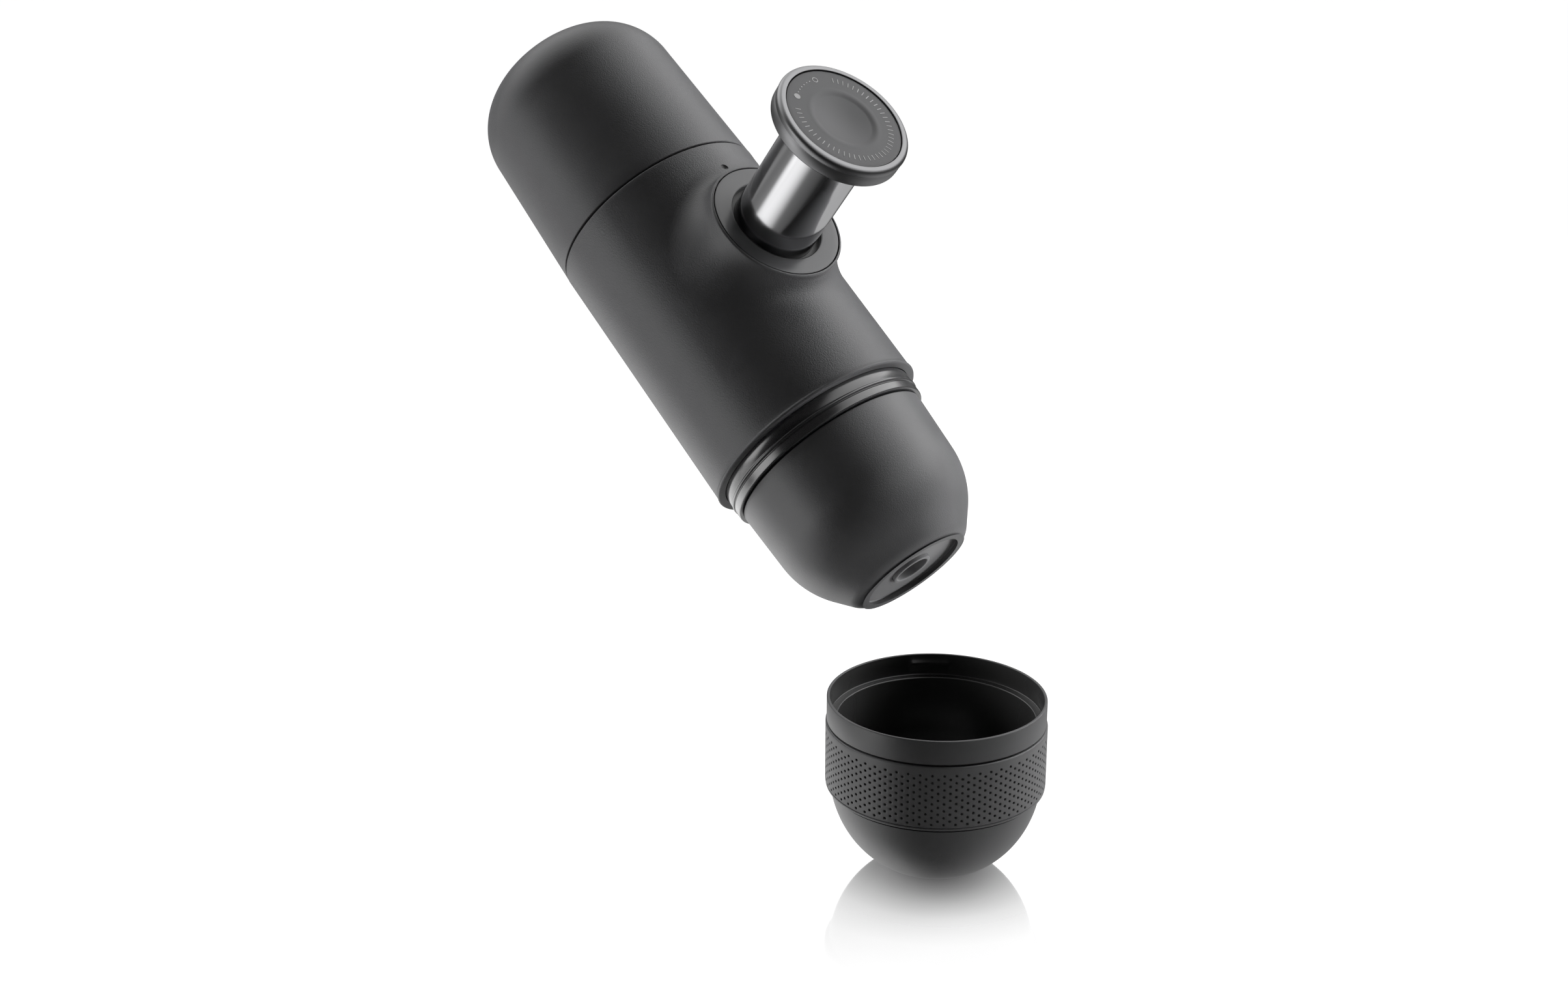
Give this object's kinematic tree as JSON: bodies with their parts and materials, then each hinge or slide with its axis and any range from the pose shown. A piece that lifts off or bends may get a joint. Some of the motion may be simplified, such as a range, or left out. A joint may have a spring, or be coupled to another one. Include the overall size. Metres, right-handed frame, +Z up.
{
  "type": "handheld manual espresso maker",
  "caption": "Handheld manual espresso maker: screw-on water tank, body with a push piston, screw-on filter head and nozzle, tilted over its own round cup with a rubber grip sleeve.",
  "frame": {"origin": "centre of the hand's grip, on the maker's long axis midway along its body", "axes": "+Z up; +X the way the tilted outlet leans; +Y to the left of that, so the maker's axis lies in the X-Z plane"},
  "size_m": [0.1655, 0.0773, 0.2166],
  "materials": {
    "body_plastic": "fine grain, matte",
    "tank_plastic": "fine grain, matte",
    "head_plastic": "fine grain, matte",
    "neck_plastic": "glossy",
    "inner_plastic": "moulded",
    "collar_plastic": "satin",
    "shaft_steel": "polished",
    "knob_metal": "satin, dark",
    "insert_plastic": "satin",
    "cylinder_metal": "machined",
    "basket_steel": "pressed",
    "spring_steel": "drawn wire",
    "black_rubber": "matte",
    "red_rubber": "matte",
    "pale_rubber": "translucent",
    "cup_plastic": "satin",
    "sleeve_rubber": "matte, dotted"
  },
  "bodies": {
    "housing": {"body_shell": "body_plastic", "tank_deck": "inner_plastic", "pump_frame": "inner_plastic", "pump_cylinder": "cylinder_metal", "guide_bush": "inner_plastic", "collar_ring": "collar_plastic", "inlet_tube": "pale_rubber", "inlet_valve": "pale_rubber", "outlet_valve": "pale_rubber", "neck_ring": "neck_plastic", "shower_screen": "basket_steel", "screen_screw": "basket_steel", "return_spring": "spring_steel"},
    "tank_seal": {"tank_gasket": "black_rubber"},
    "tank": {"tank_shell": "tank_plastic"},
    "plunger_end": {"plunger": "inner_plastic", "plunger_seal": "red_rubber"},
    "piston": {"piston_shaft": "shaft_steel", "knob_ring": "knob_metal", "knob_insert": "insert_plastic"},
    "basket": {"filter_basket": "basket_steel", "basket_gasket": "black_rubber"},
    "head": {"head_shell": "head_plastic", "nozzle_ring": "collar_plastic", "crema_valve": "black_rubber"},
    "cup": {"cup_bowl": "cup_plastic", "cup_sleeve": "sleeve_rubber"}
  },
  "joints": [
    {"name": "piston_stroke", "type": "slide", "parent": "housing", "child": "plunger_end", "axis": [0.6523, -0.0576, 0.7557], "range_m": [-0.03, 0], "stiffness_N_per_m": 150, "springref_m": 0.012, "deforming": ["return_spring"]},
    {"name": "piston_twist", "type": "hinge", "parent": "plunger_end", "child": "piston", "pos_m": [-0.00568, 0, 0.0049], "axis": [0.6523, -0.0576, 0.7557], "range_deg": [-45, 0]},
    {"name": "tank_back_off", "type": "slide", "parent": "housing", "child": "tank_seal", "axis": [-0.757, 0, 0.6534], "range_m": [0, 0.008]},
    {"name": "tank_unscrew", "type": "hinge", "parent": "tank_seal", "child": "tank", "pos_m": [0, 0, 0], "axis": [-0.757, 0, 0.6534], "range_deg": [0, 720]},
    {"name": "head_back_off", "type": "slide", "parent": "housing", "child": "basket", "axis": [0.757, 0, -0.6534], "range_m": [0, 0.008]},
    {"name": "head_unscrew", "type": "hinge", "parent": "basket", "child": "head", "pos_m": [0, 0, 0], "axis": [0.757, 0, -0.6534], "range_deg": [0, 720]},
    {"name": "cup_lift", "type": "slide", "parent": "housing", "child": "cup", "axis": [0, 0, 1], "range_m": [0, 0.024]}
  ],
  "couplings": [
    {"joint": "tank_back_off", "follows": "tank_unscrew", "m_per_rad": 0.00063661},
    {"joint": "head_back_off", "follows": "head_unscrew", "m_per_rad": 0.00063661}
  ]
}
